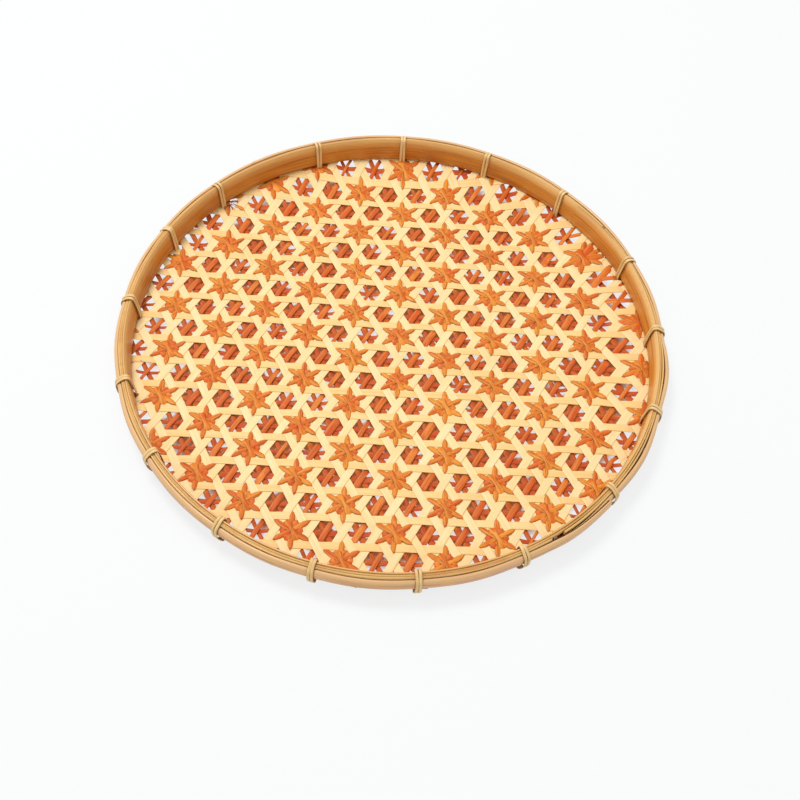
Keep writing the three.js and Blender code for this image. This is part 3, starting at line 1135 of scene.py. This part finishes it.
def fillerPiece(name, splint, nodes):
    mesh = bmesh.new()

    def place(row, point):
        across, up = fillers["ring"][point]
        angle = splint["start"] + row
        turn = math.radians(angle)
        stands = bulgeAt(angle)
        snug = fillers["snugFrom"] < angle % 360 < fillers["snugTo"]
        far = farSide(turn, fillers["farLead"])
        inside = splint["follow"] * stands * (fillers["snugFollow"] if snug else 1) + splint["farOut"] * far
        room = (splint["fill"] * stands if snug else 0) + splint["farWide"] * far
        radius = splint["radius"] + inside + across * (splint["thickness"] + room)
        level = fillers["top"] - splint["low"] - splint["farLow"] * far
        level += fillers["wave"] * drift(splint["seed"] + 3, row, fillers["wavePace"])
        spot = onRim(radius, turn, level + (up - 1) * fillers["height"])
        return spot, (radius * math.radians(row), 2 * across - 1, splint["seed"])

    sweep(mesh, splint["turn"] + 1, len(fillers["ring"]), place)
    finishPiece(mesh, name, fillerBamboo, nodes)


fillerPiece("fillerSplint_1", innerFiller, ["filler_inner"])
fillerPiece("fillerSplint_2", outerFiller, ["filler_outer"])
print("fillers set")


# The oldest strip ends, pressed together behind the outer hoop, coloured dark brown as painted shade in the
# slot

endBand = {
    "radius": 171.0,
    "thickness": 0.85,
    "foot": 12.0,
    "top": 16.7,
    "follow": 0.25,
    "wave": 0.5,
    "wavePace": 7,
    "waveSeed": 0.9,
    "seed": 0.4,
    "ring": ((0, 0), (1, 0), (1, 1), (0, 1)),
}


def makeEndBand():
    mesh = bmesh.new()

    def place(row, point):
        across, up = endBand["ring"][point]
        stands = bulgeAt(row)
        room = endBand["thickness"] + (1 - endBand["follow"]) * stands
        radius = endBand["radius"] + across * room + endBand["follow"] * stands
        turn = math.radians(row)
        wave = endBand["wave"] * up * drift(endBand["waveSeed"], row, endBand["wavePace"])
        spot = onRim(radius, turn, endBand["foot"] + up * (endBand["top"] - endBand["foot"]) + wave)
        return spot, (radius * turn, 2 * up - 1, endBand["seed"])

    sweep(mesh, 360, len(endBand["ring"]), place, loop=True)
    finishPiece(mesh, "endBand", endShadeBamboo, ["under_splints"])


makeEndBand()
print("strip ends pressed")


# Frayed fibres at a flower by the rim, and a few stray ones

fibres = {
    "count": 28,
    "rows": 7,
    "sides": 4,
    "taper": 0.8,
    "streakRun": 6,
    "length": 6.8,
    "width": 0.42,
    "turnSpread": 0.1,
    "startAway": 1.5,
    "startLift": 0.9,
    "lengthRange": (0.7, 1.1),
    "endLift": (0.5, 1.2),
    "bow": (-0.6, 0.6),
    "strayBow": (0.5, 1.0),
    "stray": (
        {"from": (-103.5, 138.5, 21.0), "to": (-101.0, 142.5, 23.2), "width": 0.2},
        {"from": (-166.0, -53.0, 4.9), "to": (-150.0, -50.5, 5.4), "width": 0.3},
        {"from": (-160.0, -21.0, 5.0), "to": (-152.0, -24.0, 6.2), "width": 0.22},
        {"from": (149.5, 66.0, 5.2), "to": (152.0, 61.5, 8.0), "width": 0.25},
        {"from": (-66.0, 148.0, 5.0), "to": (-58.0, 153.0, 6.5), "width": 0.22},
    ),
}


def fibre(mesh, start, end, width, bow, seed):
    along = (end - start).normalized()
    square = along.cross(Vector((0, 0, 1))).normalized()
    above = square.cross(along)

    def place(row, point):
        share = row / (fibres["rows"] - 1)
        turned = 2 * math.pi * point / fibres["sides"]
        thin = width / 2 * (1 - fibres["taper"] * share)
        spot = start + (end - start) * share + square * bow * math.sin(math.pi * share)
        spot += square * thin * math.cos(turned) + above * thin * math.sin(turned)
        return spot, (share * fibres["streakRun"], 0, seed)

    sweep(mesh, fibres["rows"], fibres["sides"], place)


def makeFibres():
    chance = random.Random(71)
    mesh = bmesh.new()
    swing = fibres["turnSpread"]
    for number in range(fibres["count"]):
        turn = 2 * math.pi * number / fibres["count"] + chance.uniform(-swing, swing)
        away = Vector((math.cos(turn), math.sin(turn)))
        start = onMat(frays["middle"] + away * fibres["startAway"], fibres["startLift"])
        reach = away * fibres["length"] * chance.uniform(*fibres["lengthRange"])
        end = onMat(frays["middle"] + reach, chance.uniform(*fibres["endLift"]))
        fibre(mesh, start, end, fibres["width"], chance.uniform(*fibres["bow"]), chance.random())
    for stray in fibres["stray"]:
        start, end = Vector(stray["from"]), Vector(stray["to"])
        fibre(mesh, start, end, stray["width"], chance.uniform(*fibres["strayBow"]), chance.random())
    finishPiece(mesh, "frayedFibres", fibreBamboo)


makeFibres()
print("fibres frayed")


# Lashings: two cane strands side by side, up inside the tray, over the rim and back under

cane = {
    "width": 2.0,
    "thickness": 0.8,
    "apart": 1.04,
    "lean": 0.9,
    "leanHeight": 24,
    "outerFrom": (167, 175),
    "cross": (-0.25, 0.2),  # how much closer or wider the two strands pass over the rim
    "crossFrom": (19, 23),
    "sides": 10,
    "boxiness": (0.8, 0.7),
    "rounding": 3,
    "corner": 0.25,
    "path": (
        (165.1, 1.4), (165.3, 8.0), (166.1, 15.0), (166.8, 20.8), (167.7, 22.8), (169.2, 23.2),
        (171.0, 22.9), (173.0, 21.4), (174.9, 19.9), (175.8, 17.5), (175.8, 14.0), (175.6, 10.5),
        (174.3, 6.5), (172.6, 2.4), (171.2, 0.62), (169.5, 0.55), (166.5, 0.6),
    ),
}


# Cuts the corners of a closed path until it is round
def rounded(path, times, corner):
    points = [Vector(point) for point in path]
    for time in range(times):
        cut = []
        for index, point in enumerate(points):
            after = points[(index + 1) % len(points)]
            cut += [point * (1 - corner) + after * corner, point * corner + after * (1 - corner)]
        points = cut
    return points


lashingPath = rounded(cane["path"], cane["rounding"], cane["corner"])


def strand(mesh, angle, side, chance):
    seed = chance.random()
    leanIn = chance.uniform(-1, 1) * cane["lean"]
    leanOut = chance.uniform(-1, 1) * cane["lean"]
    cross = chance.uniform(*cane["cross"])
    outward = onRim(1, math.radians(angle), 0)
    sideways = Vector((-outward.y, outward.x, 0))
    count = len(lashingPath)
    runs = [0.0]
    for index in range(1, count):
        runs.append(runs[-1] + (lashingPath[index] - lashingPath[index - 1]).length)

    def place(row, point):
        here = lashingPath[row]
        tangent = (lashingPath[(row + 1) % count] - lashingPath[row - 1]).normalized()
        away = Vector((-tangent.y, tangent.x))  # out of the loop
        turned = 2 * math.pi * point / cane["sides"]
        wide = math.cos(turned)
        thick = math.sin(turned)
        boxWide, boxThick = cane["boxiness"]
        outer = rising(here.x, *cane["outerFrom"])
        lean = (leanIn + (leanOut - leanIn) * outer) * (here.y / cane["leanHeight"] - 0.5)
        highest = rising(here.y, *cane["crossFrom"])
        beside = side * cane["apart"] * (1 + cross * highest) + lean
        beside += math.copysign(abs(wide) ** boxWide, wide) * cane["width"] / 2
        stand = math.copysign(abs(thick) ** boxThick, thick) * cane["thickness"] / 2
        spot = outward * (here.x + away.x * stand) + sideways * beside
        spot.z = here.y + away.y * stand
        return spot, (runs[row], wide, seed)

    sweep(mesh, count, cane["sides"], place, loop=True)


def makeLashings():
    chance = random.Random(53)
    for number, angle in enumerate(lashingAngles, 1):
        mesh = bmesh.new()
        strand(mesh, angle, -1, chance)
        strand(mesh, angle, 1, chance)
        name = "caneLashing_%02d" % number
        finishPiece(mesh, name, caneSkin, ["lashing_%02d" % number])


makeLashings()
print("lashings wound")


# Studio: a pale floor, with a painted shadow and painted spots of light under the tray, a pale world and
# one large soft lamp from the upper left

studio = {
    "floorSize": 3.0,
    "floorRoughness": 0.9,
    "floorGloss": 0.1,
    "floorSeen": (0.17, 0.17, 0.17, 1),  # these six show only to the camera and in reflections
    "floorGlow": (0.765, 0.78, 0.78, 1),
    "lightSpotSeen": (0.2, 0.18, 0.18, 1),
    "lightSpotGlow": (0.74, 0.7, 0.69, 1),
    "trayShadowSeen": (0.5, 0.3, 0.2, 1),
    "trayShadowGlow": (0.18, 0.04, 0.01, 1),
    "trayShadowTo": (0.149, 0.161),  # under the tray the floor carries a painted shadow, brown, with painted pale spots of light
    "lightSpotSize": 0.016,
    "lightSpotDetail": 1.0,
    "lightSpotRange": (0.52, 0.57),
    "floorLit": (0.8, 0.8, 0.8, 1),
    "sky": (0.98, 0.99, 1.0, 1),
    "skyStrength": 0.69,
    "lampPlace": (-0.45, 0.42, 1.6),
    "lampSize": 0.5,
    "lampPower": 16.5,
}


def seenDirectly(tree):
    path = addNode(tree, "ShaderNodeLightPath")
    rays = calculate(tree, "ADD", path.outputs["Is Camera Ray"], path.outputs["Is Glossy Ray"])
    rays = calculate(tree, "ADD", rays, path.outputs["Is Transmission Ray"])
    return calculate(tree, "MINIMUM", rays, 1.0)


def makeFloor():
    material = bpy.data.materials.new("floorPaper")
    material.use_nodes = True
    tree = material.node_tree
    shader = tree.nodes["Principled BSDF"]
    place = addNode(tree, "ShaderNodeTexCoord").outputs["Object"]
    away = addNode(tree, "ShaderNodeVectorMath", {"operation": "LENGTH"}, {0: place}).outputs["Value"]
    # painted shadow of the tray on the floor beneath it, broken by painted spots of light through the holes
    outOfTrayShadow = spread(tree, away, *studio["trayShadowTo"])
    lightSpots = mottle(tree, place, 1 / studio["lightSpotSize"], studio["lightSpotDetail"])
    lightSpots = spread(tree, lightSpots, *studio["lightSpotRange"])
    seen = blend(tree, lightSpots, studio["trayShadowSeen"], studio["lightSpotSeen"])
    glow = blend(tree, lightSpots, studio["trayShadowGlow"], studio["lightSpotGlow"])
    seen = blend(tree, outOfTrayShadow, seen, studio["floorSeen"])
    glow = blend(tree, outOfTrayShadow, glow, studio["floorGlow"])
    direct = seenDirectly(tree)
    seen = blend(tree, direct, studio["floorLit"], seen)
    feed(tree, shader, {"Base Color": seen, "Emission Color": glow, "Emission Strength": direct})
    feed(tree, shader, {"Roughness": studio["floorRoughness"], "Specular IOR Level": studio["floorGloss"]})
    clear = addNode(tree, "ShaderNodeBsdfTransparent").outputs[0]
    back = addNode(tree, "ShaderNodeNewGeometry").outputs["Backfacing"]
    mixed = addNode(tree, "ShaderNodeMixShader", values={0: back, 1: shader.outputs[0], 2: clear})
    feed(tree, tree.nodes["Material Output"], {"Surface": mixed.outputs[0]})
    mesh = bmesh.new()
    bmesh.ops.create_grid(mesh, x_segments=1, y_segments=1, size=studio["floorSize"] / 2)
    data = bpy.data.meshes.new("floor")
    mesh.to_mesh(data)
    mesh.free()
    data.materials.append(material)
    addObject("floor", data)


def makeLight():
    world = bpy.data.worlds.new("studioWorld")
    bpy.context.scene.world = world
    world.use_nodes = True
    tree = world.node_tree
    values = {"Value": seenDirectly(tree), "To Min": studio["skyStrength"]}
    strength = addNode(tree, "ShaderNodeMapRange", values=values).outputs["Result"]
    feed(tree, tree.nodes["Background"], {"Color": studio["sky"], "Strength": strength})
    data = bpy.data.lights.new("softLamp", "AREA")
    data.energy = studio["lampPower"]
    data.size = studio["lampSize"]
    lamp = addObject("softLamp", data)
    lamp.location = studio["lampPlace"]
    lamp.rotation_euler = Vector(studio["lampPlace"]).to_track_quat("Z", "Y").to_euler()
    bpy.context.scene.view_settings.view_transform = "Standard"


makeFloor()
makeLight()
print("studio lit")
